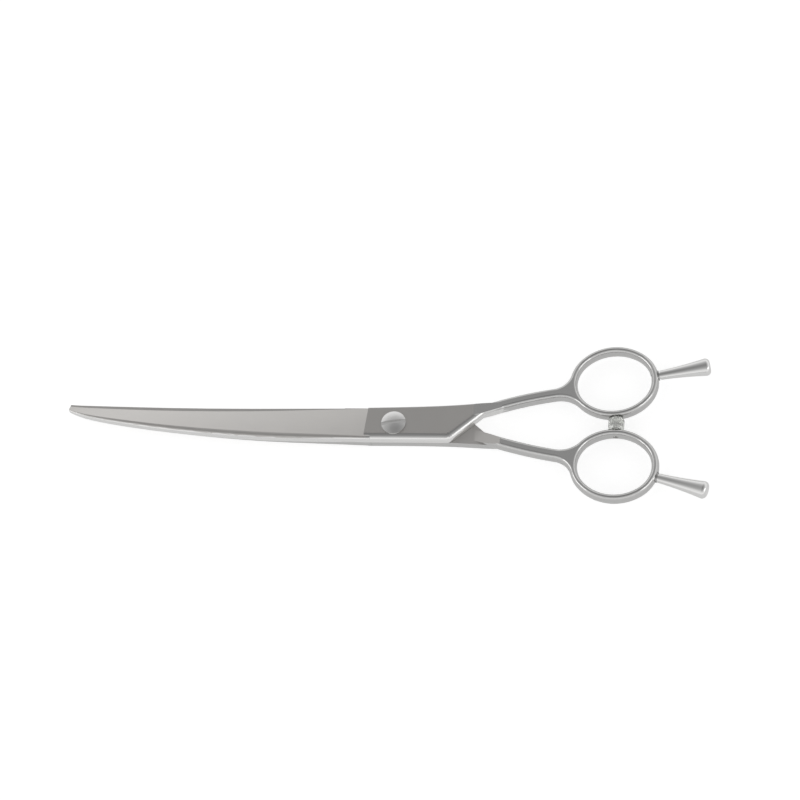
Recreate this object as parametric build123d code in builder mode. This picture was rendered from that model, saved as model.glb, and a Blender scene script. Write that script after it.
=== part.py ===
from build123d import *
import math
import os

# Hair cutting shears, 8 inch, closed: two forged halves on a slotted tension screw.
# Millimetres.  The origin is on the pivot axis, in the plane of the back plate's
# outer face, on which the closed shears lie.  +X runs to the finger rings, +Y to
# the front half's ring, +Z out of the screw's slotted head.

os.makedirs("parts", exist_ok=True)

# ---- driving dimensions --------------------------------------------------
PLATE_THICKNESS = 3.3         # each half, at the pivot
HALF_GAP = 0.1                # between the two inner faces

BLADE_LENGTH = 114.3          # pivot axis to tip
PLATE_TO_GRIND = 9.15         # pivot axis to the end of the plate, on its cutting side
BLADE_EDGE_LAND = 0.3         # thickness left at the cutting edge
FRONT_HEEL_LAND = 0.4         # more thickness left there beside the plate
BACK_HEEL_LAND = 2.3
SPINE_CROWN = 0.6             # rise from the spine wall's top to the crown
CROWN_SHARE = 0.17            # crown line to spine wall, as a share of the blade's width, at most
CROWN_BELOW_PLATE = 0.15
GRIND_BULGE = 0.12            # the ground face is slightly convex
HOLLOW_DEPTH = 0.12           # hollow of the inner face
FRONT_EDGE_INSET = 1.3        # front cutting edge, inside the back half's spine, at most
BACK_EDGE_INSET = 0.3         # back cutting edge, inside the front half's spine
GRIND_RADIUS = 1.6            # run-out of the outer grind against the plate
GRIND_SKEW = 0.094            # lean of the run-out across the plate, per mm
GRIND_FLOOR = 0.2             # thickness of plate that the wheel leaves inside the blade
PLATE_EASING = 0.3
HEEL_RADIUS = 4.0             # plate corner under the crotch
CROTCH_ROUNDING = 2.2         # outer edge of the slanting end of the plate
RAMP_START = 27.0             # outer face slopes from here down to the shank
RAMP_END = 36.5
STEP_START = 27.5             # inner face stops here and rises to the shank's far side
STEP_END = 36.5

SCREW_HEAD_DIAMETER = 8.4
SCREW_HEAD_RIM = 0.45
SCREW_HEAD_RISE = 1.2
SLOT_WIDTH = 1.3
SLOT_DEPTH = 0.85
SLOT_ANGLE = 8.0
SHOULDER_DIAMETER = 5.0
THREAD_DIAMETER = 4.0
RUNNING_CLEARANCE = 0.05      # radial, screw to bores
TENSION_WASHER_DIAMETER = 8.0
TENSION_WASHER_THICKNESS = 0.5
TENSION_RECESS_DEPTH = 0.42
BEARING_WASHER_DIAMETER = 10.6
BEARING_WASHER_THICKNESS = 0.5
WASHER_RECESS_CLEARANCE = 0.1
SCREW_END_RECESS = 0.15       # end of the screw, short of the back face

HANDLE_THICKNESS = 4.7        # shank and ring, across the mid-plane
HANDLE_ROUNDING = 1.25        # half width of the oval that each side follows
HANDLE_WALL = 0.1             # left between the roundings, before they are stretched
SHANK_WIDTH = 3.9
RING_WIDTH = 2.6
RING_HALF_LENGTH = 13.85      # centreline of the ring's band
RING_HALF_WIDTH = 12.2
RING_END_RADIUS = 11.2
ROOT_FILLET = 7.0             # shank to ring, outside
PALM_FILLET = 9.0             # shank to ring, inside

REST_LENGTH = 17.5            # finger rest, lock ring to end
REST_ROOT_DIAMETER = 3.2
REST_MIDDLE_DIAMETER = 4.2
REST_END_DIAMETER = 6.0
REST_CAP_LENGTH = 1.6
REST_NECK_DIAMETER = 2.7
REST_NECK_LENGTH = 0.4
STUD_DIAMETER = 2.2
STUD_RECESS = 0.6             # end of the stud, short of the ring's inner wall
LOCK_RING_DIAMETER = 3.5
LOCK_RING_THICKNESS = 0.5
SPOTFACE_DEPTH = 0.3          # flat seats cut into a ring's outer wall
SPOTFACE_CLEARANCE = 0.2      # radial, seat to the piece on it

BUMPER_DIAMETER = 5.4
BUMPER_ROUNDING = 0.7
BUMPER_RING_CLEARANCE = 0.15  # bumper to the front ring, closed
BUMPER_SCREW_HEAD_DIAMETER = 3.0
BUMPER_SCREW_HEAD_HEIGHT = 1.0
BUMPER_SCREW_DIAMETER = 1.6
BUMPER_HEAD_DEPTH = 1.2       # top of the screw's head, below the bumper's end
BUMPER_SLOT_WIDTH = 0.5
BUMPER_SLOT_DEPTH = 0.5
FIT_CLEARANCE = 0.02          # radial, fixed screws and studs to their holes

# ---- values that follow ----------------------------------------------------
BACK_INNER = PLATE_THICKNESS
FRONT_INNER = PLATE_THICKNESS + HALF_GAP
FRONT_OUTER = FRONT_INNER + PLATE_THICKNESS
MID_PLANE = (BACK_INNER + FRONT_INNER) / 2


def oval_side_radius():
    """Radius of the flatter arcs of the band's centre line."""
    end_centre = RING_HALF_LENGTH - RING_END_RADIUS
    return (end_centre**2 + RING_HALF_WIDTH**2 - RING_END_RADIUS**2) / (
        2 * (RING_HALF_WIDTH - RING_END_RADIUS)
    )


def oval_reach(angle, offset):
    """Distance from the ring's centre to its outline, at an angle from the long axis."""
    along = abs(math.cos(math.radians(angle)))
    across = abs(math.sin(math.radians(angle)))
    end_centre = RING_HALF_LENGTH - RING_END_RADIUS
    side_centre = oval_side_radius() - RING_HALF_WIDTH
    share = (RING_END_RADIUS + offset) / (oval_side_radius() - RING_END_RADIUS)
    if across * end_centre * (1 + share) < along * side_centre * share:
        radius = RING_END_RADIUS + offset
        return end_centre * along + math.sqrt(radius**2 - (end_centre * across) ** 2)
    radius = oval_side_radius() + offset
    return math.sqrt(radius**2 - (side_centre * along) ** 2) - side_centre * across


# The closed blades, tip to plate: share of the blade length from the pivot, centre line,
# half width over both spines, spine wall as a share of the plate's thickness, and the
# shares of the edge inset, of the crown's inset and of the heel land that apply there.
BLADE_STATIONS = [
    (1.00, 7.15, 1.50, 0.333, 0.60, 1.00, 0.00),
    (0.88, 4.75, 3.35, 0.650, 0.85, 1.00, 0.00),
    (0.76, 3.40, 4.30, 0.727, 0.97, 1.00, 0.04),
    (0.64, 2.35, 5.05, 0.742, 1.00, 1.00, 0.10),
    (0.52, 1.60, 5.65, 0.758, 0.97, 0.98, 0.19),
    (0.40, 1.10, 6.10, 0.773, 0.88, 0.92, 0.30),
    (0.28, 0.90, 6.35, 0.788, 0.70, 0.80, 0.46),
    (0.16, 0.85, 6.45, 0.803, 0.45, 0.58, 0.70),
    (0.07, 0.85, 6.50, 0.818, 0.25, 0.40, 1.00),
]
BLADE_WIDTH = 2 * BLADE_STATIONS[-1][2]


class Half:
    """One side of the shears: its places in plan and the direction it faces."""

    def __init__(self, facing, inner, edge_inset, heel_land, plate_edge, plate_spine, shank, ring,
                 tilt, rest):
        self.facing = facing            # +1 the front half, -1 the back half
        self.inner = inner              # height of its inner face
        self.edge_inset = edge_inset
        self.heel_land = heel_land
        self.plate_edge = plate_edge    # plate outline on the cutting side, step to shank
        self.plate_spine = plate_spine  # plate outline on the spine side, shank to step
        self.shank = shank              # three points of the shank's centre line
        self.ring = ring                # centre of the finger ring
        self.tilt = tilt                # of the ring's long axis
        self.rest = rest                # direction of the finger rest from the ring's centre

    def height(self, above_inner):
        return self.inner + self.facing * above_inner

    def across(self, centre, offset):
        return centre + self.facing * offset

    def on_ring(self, direction, offset, sink=0.0):
        """The point of the band at an offset from its centre line, seen from the ring's centre."""
        reach = oval_reach(direction - self.tilt, offset) - sink
        turn = math.radians(direction)
        return (self.ring[0] + reach * math.cos(turn), self.ring[1] + reach * math.sin(turn), MID_PLANE)

    def on_slant(self):
        """The middle of the plate's slanting end, on its outer face."""
        (x1, y1), (x2, y2) = self.plate_spine[1:3]
        return ((x1 + x2) / 2, (y1 + y2) / 2, self.height(PLATE_THICKNESS))

    def seat_plane(self, direction):
        """The flat cut into the ring's outer wall, facing away from the ring's centre."""
        turn = math.radians(direction)
        origin = self.on_ring(direction, RING_WIDTH / 2, SPOTFACE_DEPTH)
        return Plane(origin, x_dir=(0, 0, 1), z_dir=(math.cos(turn), math.sin(turn), 0))

    def wall_behind_seat(self, direction):
        """Thickness of the band from a seat to the inside of the ring."""
        outside = oval_reach(direction - self.tilt, RING_WIDTH / 2)
        return outside - SPOTFACE_DEPTH - oval_reach(direction - self.tilt, -RING_WIDTH / 2)

    def ring_underside_above(self, seat):
        """Distance from a seat that faces +Y to this ring's lowest point above it."""
        lift = RING_HALF_WIDTH - oval_side_radius()
        side_y = self.ring[1] - lift * math.cos(math.radians(self.tilt))
        return side_y - oval_side_radius() - RING_WIDTH / 2 - seat.origin.Y


FRONT = Half(
    facing=1,
    inner=FRONT_INNER,
    edge_inset=FRONT_EDGE_INSET,
    heel_land=FRONT_HEEL_LAND,
    plate_edge=[(-18.0, 5.75), (8.4, 6.4), (22.4, 7.1), (36.5, 8.6)],
    plate_spine=[(36.5, 6.7), (31.6, 4.8), (19.5, -5.85), (-18.0, -5.65)],
    shank=[(27.5, 5.0), (44.5, 10.4), (66.0, 13.7)],
    ring=(74.1, 16.9),
    tilt=6.5,
    rest=11.5,
)
BACK = Half(
    facing=-1,
    inner=BACK_INNER,
    edge_inset=BACK_EDGE_INSET,
    heel_land=BACK_HEEL_LAND,
    plate_edge=[(-18.0, -5.3), (8.4, -5.5), (22.4, -5.9), (36.5, -7.0)],
    plate_spine=[(36.5, -5.1), (32.0, -2.8), (20.5, 7.3), (-18.0, 7.4)],
    shank=[(27.5, -2.9), (45.2, -8.4), (67.0, -12.2)],
    ring=(75.4, -14.5),
    tilt=-6.5,
    rest=-16.0,
)


# ---- the two halves ----------------------------------------------------------
def blade_section(half, centre, half_width, wall_share, inset_share, crown_share, heel_share):
    """One section of a blade: hollow inner face, thin cutting edge, crowned spine."""
    wall = wall_share * PLATE_THICKNESS
    spine = half.across(centre, -half_width)
    edge = half.across(centre, half_width - inset_share * half.edge_inset)
    width = abs(edge - spine)
    crown_inset = crown_share * CROWN_SHARE * width
    crown_height = min(wall + SPINE_CROWN, PLATE_THICKNESS - CROWN_BELOW_PLATE)
    edge_top = (edge, half.height(BLADE_EDGE_LAND + heel_share * half.heel_land))
    crown = (half.across(spine, crown_inset), half.height(crown_height))
    shoulder = (half.across(spine, 0.3 * crown_inset), half.height(wall + 0.75 * (crown_height - wall)))
    wall_top = (spine, half.height(wall))
    bulge = GRIND_BULGE * width / BLADE_WIDTH
    face = ((edge_top[0] + crown[0]) / 2, (edge_top[1] + crown[1]) / 2 + half.facing * bulge)
    hollow = ((edge + spine) / 2, half.height(HOLLOW_DEPTH * width / BLADE_WIDTH))
    Line((edge, half.inner), edge_top)
    ThreePointArc(edge_top, face, crown)
    ThreePointArc(crown, shoulder, wall_top)
    Line(wall_top, (spine, half.inner))
    ThreePointArc((spine, half.inner), hollow, (edge, half.inner))


def blade(half):
    """The blade, lofted through its stations."""
    with BuildPart() as blank:
        for share, *section in BLADE_STATIONS:
            with BuildSketch(Plane.YZ.offset(-share * BLADE_LENGTH)):
                with BuildLine():
                    blade_section(half, *section)
                make_face()
        loft()
    return blank.part


def grind_runout(half):
    """What the grinding wheel takes from the plate: all over the blade, round at its end."""
    start_y = half.across(0, -BLADE_WIDTH)
    across = abs(half.plate_edge[0][1] - start_y)
    centre_x = -PLATE_TO_GRIND - GRIND_RADIUS - GRIND_SKEW * across
    clear_x = -2 * BLADE_LENGTH
    clear_height = GRIND_FLOOR + 4 * PLATE_THICKNESS
    diagonal = math.sqrt(0.5) * GRIND_RADIUS
    with BuildPart() as cutter:
        with BuildSketch(Plane.XZ.offset(-start_y)):
            with BuildLine():
                Line((clear_x, half.height(GRIND_FLOOR)), (centre_x, half.height(GRIND_FLOOR)))
                ThreePointArc(
                    (centre_x, half.height(GRIND_FLOOR)),
                    (centre_x + diagonal, half.height(GRIND_FLOOR + GRIND_RADIUS - diagonal)),
                    (centre_x + GRIND_RADIUS, half.height(GRIND_FLOOR + GRIND_RADIUS)),
                )
                Polyline(
                    (centre_x + GRIND_RADIUS, half.height(GRIND_FLOOR + GRIND_RADIUS)),
                    (centre_x + GRIND_RADIUS, half.height(clear_height)),
                    (clear_x, half.height(clear_height)),
                    (clear_x, half.height(GRIND_FLOOR)),
                )
            make_face()
        extrude(amount=2 * across, dir=(GRIND_SKEW, half.facing, 0))
    return cutter.part


def side_prism(points):
    """A prism across the whole shears, from its outline seen from the front."""
    with BuildPart() as prism:
        with BuildSketch(Plane.XZ):
            with BuildLine():
                Polyline(*points, close=True)
            make_face()
        extrude(amount=BLADE_LENGTH, both=True)
    return prism.part


def outer_ramp(half):
    """What comes off the plate's outer face where it slopes down to the shank."""
    shank_face = HANDLE_THICKNESS / 2 - HALF_GAP / 2
    clear = 2 * PLATE_THICKNESS
    return side_prism([
        (RAMP_START, half.height(PLATE_THICKNESS)),
        (RAMP_END, half.height(shank_face)),
        (2 * RAMP_END, half.height(shank_face)),
        (2 * RAMP_END, half.height(clear)),
        (RAMP_START, half.height(clear)),
    ])


def inner_step(half):
    """What comes off the shank beyond the inner face, up to the step."""
    far_face = -HANDLE_THICKNESS / 2 - HALF_GAP / 2
    return side_prism([
        (0, half.height(0)),
        (STEP_START, half.height(0)),
        (STEP_END, half.height(far_face)),
        (STEP_END, half.height(2 * far_face)),
        (0, half.height(2 * far_face)),
    ])


def plate(half):
    """The flat plate round the pivot, with its outer edges eased."""
    with BuildPart() as blank:
        with BuildSketch(Plane.XY.offset(half.inner)):
            with BuildLine():
                Spline(*half.plate_edge)
                Polyline(half.plate_edge[-1], *half.plate_spine, half.plate_edge[0])
            make_face()
        extrude(amount=half.facing * PLATE_THICKNESS)
        corner = half.plate_spine[2]
        fillet(blank.edges().filter_by(Axis.Z).sort_by_distance((*corner, MID_PLANE))[0], HEEL_RADIUS)
        outer_face = blank.faces().filter_by(Axis.Z).sort_by(Axis.Z)[-1 if half.facing > 0 else 0]
        slant = half.on_slant()
        fillet(outer_face.edges().sort_by_distance(slant)[0], CROTCH_ROUNDING)
        outer_face = blank.faces().filter_by(Axis.Z).sort_by(Axis.Z)[-1 if half.facing > 0 else 0]
        fillet(outer_face.edges().sort_by_distance(slant)[1:], PLATE_EASING)
        add(grind_runout(half), mode=Mode.SUBTRACT)
        add(outer_ramp(half), mode=Mode.SUBTRACT)
    return blank.part


def oval(length, width, end_radius):
    """An oval of four tangent arcs, reaching length and width from its centre."""
    end_centre = length - end_radius
    side_radius = (end_centre**2 + width**2 - end_radius**2) / (2 * (width - end_radius))
    share = end_radius / (side_radius - end_radius)
    joint_x = end_centre * (1 + share)
    joint_y = (side_radius - width) * share
    with BuildSketch() as face:
        with BuildLine():
            ThreePointArc((joint_x, -joint_y), (length, 0), (joint_x, joint_y))
            ThreePointArc((joint_x, joint_y), (0, width), (-joint_x, joint_y))
            ThreePointArc((-joint_x, joint_y), (-length, 0), (-joint_x, -joint_y))
            ThreePointArc((-joint_x, -joint_y), (0, -width), (joint_x, -joint_y))
        make_face()
    return face.sketch


def ring_oval(offset):
    """The finger ring's outline at an offset from its band's centre line."""
    return oval(RING_HALF_LENGTH + offset, RING_HALF_WIDTH + offset, RING_END_RADIUS + offset)


def handle(half):
    """Shank and finger ring, one bar with oval sides across the mid-plane."""
    ring_place = Location((*half.ring, 0), (0, 0, half.tilt))
    towards_shank = math.degrees(
        math.atan2(half.shank[1][1] - half.ring[1], half.shank[1][0] - half.ring[0])
    )
    root = Vector(*half.on_ring(towards_shank, RING_WIDTH / 2)[:2])
    flat_thickness = 2 * HANDLE_ROUNDING + HANDLE_WALL
    with BuildPart() as blank:
        with BuildSketch() as outline:
            SlotArc(ThreePointArc(*half.shank, mode=Mode.PRIVATE), SHANK_WIDTH)
            with Locations(ring_place):
                add(ring_oval(RING_WIDTH / 2))
            palm, back = outline.vertices().sort_by_distance(root)[:2]
            if half.facing * palm.Y > half.facing * back.Y:
                palm, back = back, palm
            fillet(palm, PALM_FILLET)
            fillet(outline.vertices().sort_by_distance(back)[0], ROOT_FILLET)
            with Locations(ring_place):
                add(ring_oval(-RING_WIDTH / 2), mode=Mode.SUBTRACT)
        extrude(amount=flat_thickness / 2, both=True)
        fillet(blank.faces().filter_by(Axis.Z).edges(), HANDLE_ROUNDING)
        scale(by=(1, 1, HANDLE_THICKNESS / flat_thickness))
    with BuildPart() as bar:
        with Locations((0, 0, MID_PLANE)):
            add(blank.part)
        add(inner_step(half), mode=Mode.SUBTRACT)
    return bar.part


def shear_half(half):
    """Blade, plate, shank and ring: one forging, with the seats its ring needs."""
    with BuildPart() as forging:
        add(blade(half))
        add(plate(half))
        add(handle(half))
        seat = half.seat_plane(half.rest)
        with BuildSketch(seat):
            Circle(LOCK_RING_DIAMETER / 2 + SPOTFACE_CLEARANCE)
        extrude(amount=2 * RING_WIDTH, mode=Mode.SUBTRACT)
        with BuildSketch(seat):
            Circle(STUD_DIAMETER / 2 + FIT_CLEARANCE)
        extrude(amount=-2 * RING_WIDTH, mode=Mode.SUBTRACT)
    return forging.part


with BuildPart() as front_half:
    add(shear_half(FRONT))
    with Locations((0, 0, FRONT_OUTER)):
        CounterBoreHole(
            radius=SHOULDER_DIAMETER / 2 + RUNNING_CLEARANCE,
            counter_bore_radius=TENSION_WASHER_DIAMETER / 2 + WASHER_RECESS_CLEARANCE,
            counter_bore_depth=TENSION_RECESS_DEPTH,
            depth=2 * PLATE_THICKNESS,
        )

with BuildPart() as back_half:
    add(shear_half(BACK))
    with Locations((0, 0, BACK_INNER)):
        CounterBoreHole(
            radius=THREAD_DIAMETER / 2 + RUNNING_CLEARANCE,
            counter_bore_radius=BEARING_WASHER_DIAMETER / 2 + WASHER_RECESS_CLEARANCE,
            counter_bore_depth=BEARING_WASHER_THICKNESS - HALF_GAP,
            depth=2 * PLATE_THICKNESS,
        )
    bumper_seat = BACK.seat_plane(90)
    with BuildSketch(bumper_seat):
        Circle(BUMPER_DIAMETER / 2 + SPOTFACE_CLEARANCE)
    extrude(amount=2 * RING_WIDTH, mode=Mode.SUBTRACT)
    with BuildSketch(bumper_seat):
        Circle(BUMPER_SCREW_DIAMETER / 2 + FIT_CLEARANCE)
    extrude(amount=-2 * RING_WIDTH, mode=Mode.SUBTRACT)

# ---- pivot: tension screw, its spring washer and the washer between the halves ----
HEAD_SEAT = FRONT_OUTER - TENSION_RECESS_DEPTH + TENSION_WASHER_THICKNESS
BEARING_FLOOR = FRONT_INNER - BEARING_WASHER_THICKNESS

with BuildPart() as pivot_screw:
    head_top = HEAD_SEAT + SCREW_HEAD_RISE
    head_rim = HEAD_SEAT + SCREW_HEAD_RIM
    shoulder_end = BEARING_FLOOR + WASHER_RECESS_CLEARANCE
    head_radius = SCREW_HEAD_DIAMETER / 2
    dome_radius = (head_radius**2 + (head_top - head_rim) ** 2) / (2 * (head_top - head_rim))
    dome_middle = head_top - dome_radius + math.sqrt(dome_radius**2 - head_radius**2 / 4)
    with BuildSketch(Plane.YZ):
        with BuildLine():
            ThreePointArc((0, head_top), (head_radius / 2, dome_middle), (head_radius, head_rim))
            Polyline(
                (head_radius, head_rim),
                (head_radius, HEAD_SEAT),
                (SHOULDER_DIAMETER / 2, HEAD_SEAT),
                (SHOULDER_DIAMETER / 2, shoulder_end),
                (THREAD_DIAMETER / 2, shoulder_end),
                (THREAD_DIAMETER / 2, SCREW_END_RECESS),
                (0, SCREW_END_RECESS),
                (0, head_top),
            )
        make_face()
    revolve(axis=Axis.Z)
    with BuildSketch(Plane.XY.offset(head_top)):
        Rectangle(3 * head_radius, SLOT_WIDTH, rotation=SLOT_ANGLE)
    extrude(amount=-SLOT_DEPTH, mode=Mode.SUBTRACT)

with BuildPart() as tension_washer:
    with BuildSketch(Plane.XY.offset(FRONT_OUTER - TENSION_RECESS_DEPTH)):
        Circle(TENSION_WASHER_DIAMETER / 2)
        Circle(SHOULDER_DIAMETER / 2 + WASHER_RECESS_CLEARANCE, mode=Mode.SUBTRACT)
    extrude(amount=TENSION_WASHER_THICKNESS)

with BuildPart() as bearing_washer:
    with BuildSketch(Plane.XY.offset(BEARING_FLOOR)):
        Circle(BEARING_WASHER_DIAMETER / 2)
        Circle(SHOULDER_DIAMETER / 2 + WASHER_RECESS_CLEARANCE, mode=Mode.SUBTRACT)
    extrude(amount=BEARING_WASHER_THICKNESS)


# ---- finger rests, each screwed into its ring against a lock ring ---------------
def finger_rest(half):
    """A flared steel rest with a domed cap, turned on one axis with its stud."""
    seat = half.seat_plane(half.rest)
    wall = half.wall_behind_seat(half.rest)
    root = LOCK_RING_THICKNESS
    cone_start = root + REST_NECK_LENGTH
    cone_end = root + REST_LENGTH - REST_CAP_LENGTH
    end = root + REST_LENGTH
    end_radius = REST_END_DIAMETER / 2
    with BuildPart() as rest:
        with BuildSketch(Plane(seat.origin, x_dir=seat.z_dir, z_dir=(0, 0, 1))):
            with BuildLine():
                Polyline(
                    (end, 0),
                    (STUD_RECESS - wall, 0),
                    (STUD_RECESS - wall, STUD_DIAMETER / 2),
                    (root, STUD_DIAMETER / 2),
                    (root, REST_NECK_DIAMETER / 2),
                    (cone_start, REST_NECK_DIAMETER / 2),
                    (cone_start, REST_ROOT_DIAMETER / 2),
                )
                ThreePointArc(
                    (cone_start, REST_ROOT_DIAMETER / 2),
                    ((cone_start + cone_end) / 2, REST_MIDDLE_DIAMETER / 2),
                    (cone_end, end_radius),
                )
                ThreePointArc(
                    (cone_end, end_radius),
                    (cone_end + 0.8 * REST_CAP_LENGTH, 0.8 * end_radius),
                    (end, 0.4 * end_radius),
                )
                Line((end, 0.4 * end_radius), (end, 0))
            make_face()
        revolve(axis=Axis(seat.origin, seat.z_dir))
    return rest


def lock_ring(half):
    """The thin ring between a finger rest and its seat."""
    with BuildPart() as ring:
        with BuildSketch(half.seat_plane(half.rest)):
            Circle(LOCK_RING_DIAMETER / 2)
            Circle(STUD_DIAMETER / 2 + FIT_CLEARANCE, mode=Mode.SUBTRACT)
        extrude(amount=LOCK_RING_THICKNESS)
    return ring


finger_rest_front = finger_rest(FRONT)
finger_rest_back = finger_rest(BACK)
lock_ring_front = lock_ring(FRONT)
lock_ring_back = lock_ring(BACK)

# ---- bumper, screwed to the back ring where the front ring closes on it ------------
bumper_height = FRONT.ring_underside_above(bumper_seat) - BUMPER_RING_CLEARANCE

with BuildPart() as bumper:
    with BuildSketch(bumper_seat):
        Circle(BUMPER_DIAMETER / 2)
    extrude(amount=bumper_height)
    fillet(bumper.edges().group_by(Axis.Y)[-1], BUMPER_ROUNDING)
    with Locations(bumper_seat.offset(bumper_height)):
        CounterBoreHole(
            radius=BUMPER_SCREW_DIAMETER / 2 + FIT_CLEARANCE,
            counter_bore_radius=BUMPER_SCREW_HEAD_DIAMETER / 2 + FIT_CLEARANCE,
            counter_bore_depth=BUMPER_HEAD_DEPTH + BUMPER_SCREW_HEAD_HEIGHT,
            depth=2 * bumper_height,
        )

with BuildPart() as bumper_screw:
    head_underside = bumper_height - BUMPER_HEAD_DEPTH - BUMPER_SCREW_HEAD_HEIGHT
    with BuildSketch(bumper_seat.offset(head_underside)):
        Circle(BUMPER_SCREW_HEAD_DIAMETER / 2)
    extrude(amount=BUMPER_SCREW_HEAD_HEIGHT)
    with BuildSketch(bumper_seat.offset(head_underside)):
        Circle(BUMPER_SCREW_DIAMETER / 2)
    extrude(amount=-(head_underside + BACK.wall_behind_seat(90) - STUD_RECESS))
    with BuildSketch(bumper_seat.offset(head_underside + BUMPER_SCREW_HEAD_HEIGHT)):
        Rectangle(BUMPER_SCREW_HEAD_DIAMETER, BUMPER_SLOT_WIDTH)
    extrude(amount=-BUMPER_SLOT_DEPTH, mode=Mode.SUBTRACT)

PIECES = {
    "front_half": front_half,
    "back_half": back_half,
    "pivot_screw": pivot_screw,
    "tension_washer": tension_washer,
    "bearing_washer": bearing_washer,
    "bumper": bumper,
    "bumper_screw": bumper_screw,
    "finger_rest_front": finger_rest_front,
    "finger_rest_back": finger_rest_back,
    "lock_ring_front": lock_ring_front,
    "lock_ring_back": lock_ring_back,
}
for name, piece in PIECES.items():
    piece.part.label = name
    export_step(piece.part, f"parts/{name}.step")
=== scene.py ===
import math

import bpy
import numpy as np
from mathutils import Matrix, Vector

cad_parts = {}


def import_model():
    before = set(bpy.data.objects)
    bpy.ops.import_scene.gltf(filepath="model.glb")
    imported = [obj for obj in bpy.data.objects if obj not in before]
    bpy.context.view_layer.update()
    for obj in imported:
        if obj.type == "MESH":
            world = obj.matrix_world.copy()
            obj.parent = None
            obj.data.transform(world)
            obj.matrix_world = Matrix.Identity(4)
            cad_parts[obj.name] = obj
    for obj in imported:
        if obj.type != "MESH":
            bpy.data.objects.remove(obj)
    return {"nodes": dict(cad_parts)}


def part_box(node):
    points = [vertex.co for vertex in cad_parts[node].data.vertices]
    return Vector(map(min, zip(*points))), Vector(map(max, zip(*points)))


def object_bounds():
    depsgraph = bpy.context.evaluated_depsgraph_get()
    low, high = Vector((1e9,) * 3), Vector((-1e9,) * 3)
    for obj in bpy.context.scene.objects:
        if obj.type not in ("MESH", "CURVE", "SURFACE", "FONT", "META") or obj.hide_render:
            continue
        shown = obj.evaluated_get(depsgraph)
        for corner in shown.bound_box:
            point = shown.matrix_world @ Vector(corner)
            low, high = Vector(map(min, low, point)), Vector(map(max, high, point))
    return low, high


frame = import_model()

CAD_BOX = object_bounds()
NODES = frame["nodes"]
MM = 0.001

# ---- places read from the frame ----------------------------------------------
CENTRE = (CAD_BOX[0] + CAD_BOX[1]) / 2
LENGTH = CAD_BOX[1].x - CAD_BOX[0].x
FRONT_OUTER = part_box("front_half")[1].z
BACK_OUTER = 0.0                  # the frame's origin lies in this face

# ---- the photograph's view -----------------------------------------------------
VIEW_AZIMUTH = math.radians(19)
VIEW_ELEVATION = math.radians(61)
VIEW_DISTANCE = 1.2
FRAME_WIDTH = 1.2314 * LENGTH     # seen across the picture
AIM = CENTRE + Vector((4.4, 9.33, -0.5)) * MM     # the shears lie a little below its middle


class Tree:
    """A material's or the world's node tree, with short ways to add to it."""

    def __init__(self, owner):
        owner.use_nodes = True
        self.output = "OutputWorld" if isinstance(owner, bpy.types.World) else "OutputMaterial"
        self.nodes = owner.node_tree.nodes
        self.links = owner.node_tree.links
        self.nodes.clear()

    def add(self, kind, inputs=None, **settings):
        """A shader node; an input given as a socket is linked, anything else is set."""
        node = self.nodes.new("ShaderNode" + kind)
        for name, value in settings.items():
            setattr(node, name, value)
        for name, value in (inputs or {}).items():
            if isinstance(value, bpy.types.NodeSocket):
                self.links.new(value, node.inputs[name])
            else:
                node.inputs[name].default_value = value
        return node

    def math(self, operation, first, second=0.0, third=0.0):
        return self.add("Math", {0: first, 1: second, 2: third}, operation=operation).outputs[0]

    def ramp(self, value, stops):
        """value through a colour ramp; stops are (position, grey)."""
        node = self.add("ValToRGB", {"Fac": value})
        elements = node.color_ramp.elements
        while len(elements) < len(stops):
            elements.new(0.5)
        for element, (position, grey) in zip(elements, stops):
            element.position = position
            element.color = (grey, grey, grey, 1)
        return node.outputs["Color"]

    def scaled(self, vector, scale):
        return self.add("Mapping", {"Vector": vector, "Scale": scale}).outputs["Vector"]

    def noise(self, vector, scale, detail, roughness):
        inputs = {"Vector": vector, "Scale": scale, "Detail": detail, "Roughness": roughness}
        return self.add("TexNoise", inputs).outputs["Fac"]

    def spread(self, value, low, high):
        """A 0 to 1 value, spread from low to high."""
        node = self.add("MapRange", {"Value": value, "To Min": low, "To Max": high})
        return node.outputs["Result"]

    def mixed(self, value, low, high):
        """A colour between two, by a 0 to 1 value."""
        node = self.add("Mix", data_type="RGBA")
        factor, first, second = node.inputs[0], node.inputs[6], node.inputs[7]
        self.links.new(value, factor)
        first.default_value, second.default_value = low, high
        return node.outputs[2]

    def bump(self, height, depth):
        """A bump of that depth in metres."""
        return self.add("Bump", {"Height": height, "Distance": depth, "Strength": 1.0}).outputs["Normal"]

    def finish(self, shader):
        """Makes this shader the tree's surface."""
        self.add(self.output, {"Surface": shader.outputs[0]})


def material(name):
    made = bpy.data.materials.new(name)
    return made, Tree(made)


# ---- finishes --------------------------------------------------------------------
NEUTRAL = (1.0, 0.995, 0.985)
WARM = (1.0, 0.975, 0.945)        # fine-ground steel is a little warmer than polished

# Fineness of a steel's grain, per metre along x, y and z.
LENGTHWISE = (60.0, 5200.0, 5200.0)
CROSSWISE = (5200.0, 90.0, 90.0)
FROSTED = (4200.0, 4200.0, 4200.0)


def tinted(grey, tint):
    return (*[grey * channel for channel in tint], 1)


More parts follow.
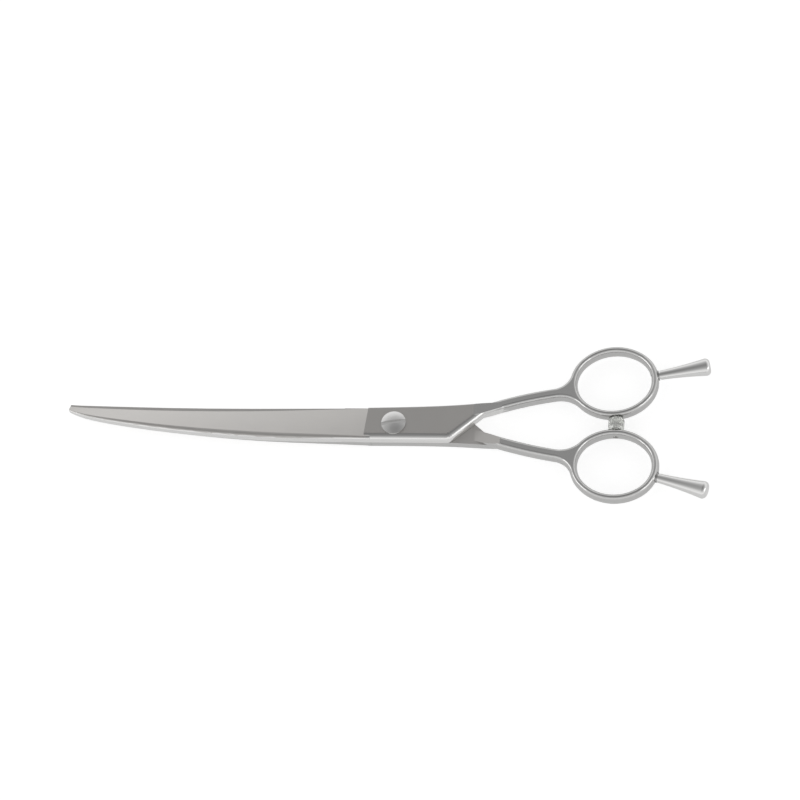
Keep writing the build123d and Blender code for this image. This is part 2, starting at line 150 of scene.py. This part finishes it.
def steel(name, grey, roughness, grain, depth, tint=NEUTRAL):
    """Bare steel with a grain, slightly cloudy; roughness is its lowest and its highest."""
    made, tree = material(name)
    cloud = 0.035
    grain_share = 0.6
    place = tree.add("TexCoord").outputs["Object"]
    lines = tree.noise(tree.scaled(place, grain), 1.0, 3.0, 0.65)
    patches = tree.noise(place, 90.0, 4.0, 0.6)
    mixed = tree.math(
        "ADD",
        tree.math("MULTIPLY", lines, grain_share),
        tree.math("MULTIPLY", patches, 1 - grain_share),
    )
    shader = tree.add("BsdfPrincipled", {
        "Base Color": tree.mixed(mixed, tinted(grey - cloud, tint), tinted(grey + cloud, tint)),
        "Metallic": 1.0,
        "Roughness": tree.spread(mixed, *roughness),
        "Normal": tree.bump(lines, depth),
    })
    tree.finish(shader)
    return made


def turned(name, grey, roughness, ring_pitch, depth):
    """Steel faced in a lathe: fine rings round the object's z axis."""
    made, tree = material(name)
    cloud = 0.05
    place = tree.add("TexCoord").outputs["Object"]
    x, y = tree.add("SeparateXYZ", {"Vector": place}).outputs[:2]
    radius = tree.math(
        "SQRT",
        tree.math("ADD", tree.math("MULTIPLY", x, x), tree.math("MULTIPLY", y, y)),
    )
    rings = tree.math("SINE", tree.math("MULTIPLY", radius, 2 * math.pi / ring_pitch))
    patches = tree.noise(place, 900.0, 3.0, 0.6)
    shader = tree.add("BsdfPrincipled", {
        "Base Color": tree.mixed(patches, tinted(grey - cloud, NEUTRAL), tinted(grey + cloud, NEUTRAL)),
        "Metallic": 1.0,
        "Roughness": tree.spread(patches, *roughness),
        "Anisotropic": 0.9,
        "Anisotropic Rotation": 0.25,
        "Tangent": tree.add("Tangent", direction_type="RADIAL", axis="Z").outputs["Tangent"],
        "Normal": tree.bump(rings, depth),
    })
    tree.finish(shader)
    return made


def plastic(name, colour, roughness, fineness, depth, transmission=0.0, ior=1.5):
    """Plastic: a speckled colour with a fine surface, clear where it transmits."""
    made, tree = material(name)
    place = tree.add("TexCoord").outputs["Object"]
    speckle = tree.noise(place, fineness, 4.0, 0.6)
    shader = tree.add("BsdfPrincipled", {
        "Base Color": tree.mixed(speckle, tinted(0.94, colour), tinted(1.06, colour)),
        "Roughness": tree.spread(speckle, *roughness),
        "Normal": tree.bump(speckle, depth),
        "Transmission Weight": transmission,
        "IOR": ior,
    })
    tree.finish(shader)
    return made


SATIN = steel("satin_plate", 0.57, (0.34, 0.44), FROSTED, 0.002 * MM, WARM)
GROUND = steel("ground_blade", 0.64, (0.28, 0.40), LENGTHWISE, 0.002 * MM, WARM)
# Polished spine-side walls: their grey is set well above the handles' polished steel, a painted
# highlight for the bright floor these walls reflect.
SPINE_PAINTED_BRIGHT = steel("polished_spine_painted_highlight", 0.86, (0.14, 0.24), LENGTHWISE, 0.001 * MM)
INNER = steel("lapped_inside", 0.61, (0.34, 0.46), CROSSWISE, 0.001 * MM, WARM)
POLISH = steel("polished_handle", 0.61, (0.13, 0.20), FROSTED, 0.0008 * MM)
REST_STEEL = steel("polished_rest", 0.80, (0.05, 0.10), FROSTED, 0.0005 * MM)
SPRING = steel("spring_steel", 0.42, (0.25, 0.38), FROSTED, 0.001 * MM)
TURNED = turned("turned_steel", 0.84, (0.07, 0.13), 0.16 * MM, 0.0015 * MM)
NYLON = plastic("clear_nylon", (0.86, 0.87, 0.84), (0.22, 0.34), 500.0, 0.002 * MM, 0.55, 1.45)
PTFE = plastic("white_ptfe", (0.82, 0.82, 0.80), (0.40, 0.55), 2200.0, 0.003 * MM)


# ---- which finish goes where on a half ----------------------------------------
HANDLE_START = 37.0 * MM          # the handles' polish starts here
BLADE_START = -9.0 * MM
HALF_FINISHES = (POLISH, SATIN, GROUND, SPINE_PAINTED_BRIGHT, INNER)
FLAT = 0.995                      # least upward part of the normal on a flat face
INWARD = -0.9                     # most upward part on the inner face
STEEP = 0.7                       # most upward part, either way, on a side wall
SLOPING = 0.5                     # least upward part on the ground face


def finish_half(name, facing, outer):
    """Gives each face of a half its finish, by where it is and which way it faces; the spine-side walls
    get a brighter grey, a painted highlight.
    """
    mesh = NODES[name].data
    mesh.materials.clear()
    for finish in HALF_FINISHES:
        mesh.materials.append(finish)
    count = len(mesh.polygons)
    centre = np.empty(3 * count, np.float32)
    normal = np.empty(3 * count, np.float32)
    mesh.polygons.foreach_get("center", centre)
    mesh.polygons.foreach_get("normal", normal)
    centre, normal = centre.reshape(-1, 3), normal.reshape(-1, 3)
    up = facing * normal[:, 2]
    below_outer = abs(centre[:, 2] - outer)
    on_plate = centre[:, 0] < HANDLE_START
    on_blade = centre[:, 0] < BLADE_START
    regions = {
        SATIN: on_plate & (up > FLAT) & (below_outer < 0.05 * MM),
        GROUND: on_blade & (up > SLOPING) & (below_outer > 0.01 * MM),
        # spine-side walls take the brighter steel: a painted highlight
        SPINE_PAINTED_BRIGHT: on_plate & (abs(up) <= STEEP) & (facing * normal[:, 1] < 0),
        INNER: on_plate & (up < INWARD),
    }
    choice = np.zeros(count, np.int32)
    for finish, region in regions.items():
        choice[region] = HALF_FINISHES.index(finish)
    mesh.polygons.foreach_set("material_index", choice)


def repaint(name, finish):
    mesh = NODES[name].data
    mesh.materials.clear()
    mesh.materials.append(finish)


finish_half("front_half", 1, FRONT_OUTER)
finish_half("back_half", -1, BACK_OUTER)
repaint("pivot_screw", TURNED)
repaint("bumper_screw", TURNED)
repaint("tension_washer", SPRING)
repaint("bearing_washer", PTFE)
repaint("bumper", NYLON)
for side in ("front", "back"):
    repaint("finger_rest_" + side, REST_STEEL)
    repaint("lock_ring_" + side, SPRING)


# ---- floor, world, lamps and camera --------------------------------------------
FLOOR_GREY = 0.52
FLOOR_GLOW = 0.74
GLOW_IN_STEEL = 0.55              # share of the floor's own light, as the steel shows it

# Grey of the room by the upward part of the direction: bright low down, darker overhead.
ROOM_STOPS = [(0.0, 1.0), (0.35, 0.88), (0.55, 0.77), (0.74, 0.50), (0.88, 0.40), (1.0, 0.26)]


def floor():
    """A pale floor just under the shears, with a little light of its own."""
    bpy.ops.mesh.primitive_plane_add(
        size=40 * LENGTH,
        location=(CENTRE.x, CENTRE.y, CAD_BOX[0].z - 0.02 * MM),
    )
    ground = bpy.context.object
    ground.name = "floor"
    made, tree = material("pale_floor")
    path = tree.add("LightPath").outputs
    seen = tree.math("MAXIMUM", path["Is Camera Ray"], path["Is Transmission Ray"])
    seen = tree.math("MULTIPLY_ADD", path["Is Glossy Ray"], GLOW_IN_STEEL, seen)
    matt = tree.add("BsdfDiffuse", {"Color": tinted(FLOOR_GREY, (1, 1, 1))})
    glow = tree.add("Emission", {"Strength": tree.math("MULTIPLY", seen, FLOOR_GLOW)})
    tree.finish(tree.add("AddShader", {0: matt.outputs[0], 1: glow.outputs[0]}))
    ground.data.materials.append(made)


def world():
    """The room as the steel sees it, and white to the camera."""
    made = bpy.data.worlds.new("studio")
    bpy.context.scene.world = made
    tree = Tree(made)
    up = tree.add("SeparateXYZ", {"Vector": tree.add("TexCoord").outputs["Generated"]}).outputs[2]
    room = tree.add("Background", {"Color": tree.ramp(up, ROOM_STOPS), "Strength": 1.0})
    white = tree.add("Background", {"Color": (1, 1, 1, 1), "Strength": 1.0})
    seen = tree.add("LightPath").outputs["Is Camera Ray"]
    tree.finish(tree.add("MixShader", {0: seen, 1: room.outputs[0], 2: white.outputs[0]}))


def softbox(name, azimuth, elevation, distance, width, height, power):
    """An area lamp that faces the shears; azimuth 0 is the near side, 90 the handles'."""
    a, e = math.radians(azimuth), math.radians(elevation)
    away = Vector((math.sin(a) * math.cos(e), -math.cos(a) * math.cos(e), math.sin(e)))
    data = bpy.data.lights.new(name, "AREA")
    data.shape = "RECTANGLE"
    data.size, data.size_y = width, height
    data.energy = power
    lamp = bpy.data.objects.new(name, data)
    lamp.location = CENTRE + away * distance
    lamp.rotation_euler = away.to_track_quat("Z", "Y").to_euler()
    bpy.context.scene.collection.objects.link(lamp)


def camera():
    """The photograph's camera, turned so that the frame's x axis lies level in the picture."""
    back = Vector((
        math.sin(VIEW_AZIMUTH) * math.cos(VIEW_ELEVATION),
        -math.cos(VIEW_AZIMUTH) * math.cos(VIEW_ELEVATION),
        math.sin(VIEW_ELEVATION),
    ))
    up = back.cross(Vector((1, 0, 0))).normalized()
    right = up.cross(back)
    data = bpy.data.cameras.new("camera")
    data.sensor_width = 36.0
    data.lens = data.sensor_width * VIEW_DISTANCE / FRAME_WIDTH
    data.clip_start, data.clip_end = 0.01, 100.0
    made = bpy.data.objects.new("camera", data)
    turn = Matrix((right, up, back)).transposed().to_4x4()
    made.matrix_world = Matrix.Translation(AIM + back * VIEW_DISTANCE) @ turn
    bpy.context.scene.collection.objects.link(made)
    bpy.context.scene.camera = made


floor()
world()
softbox("left", azimuth=285, elevation=24, distance=1.2, width=0.9, height=0.3, power=1.2)
softbox("right", azimuth=70, elevation=22, distance=1.2, width=0.7, height=0.3, power=0.8)
camera()
bpy.context.scene.view_settings.view_transform = "Standard"
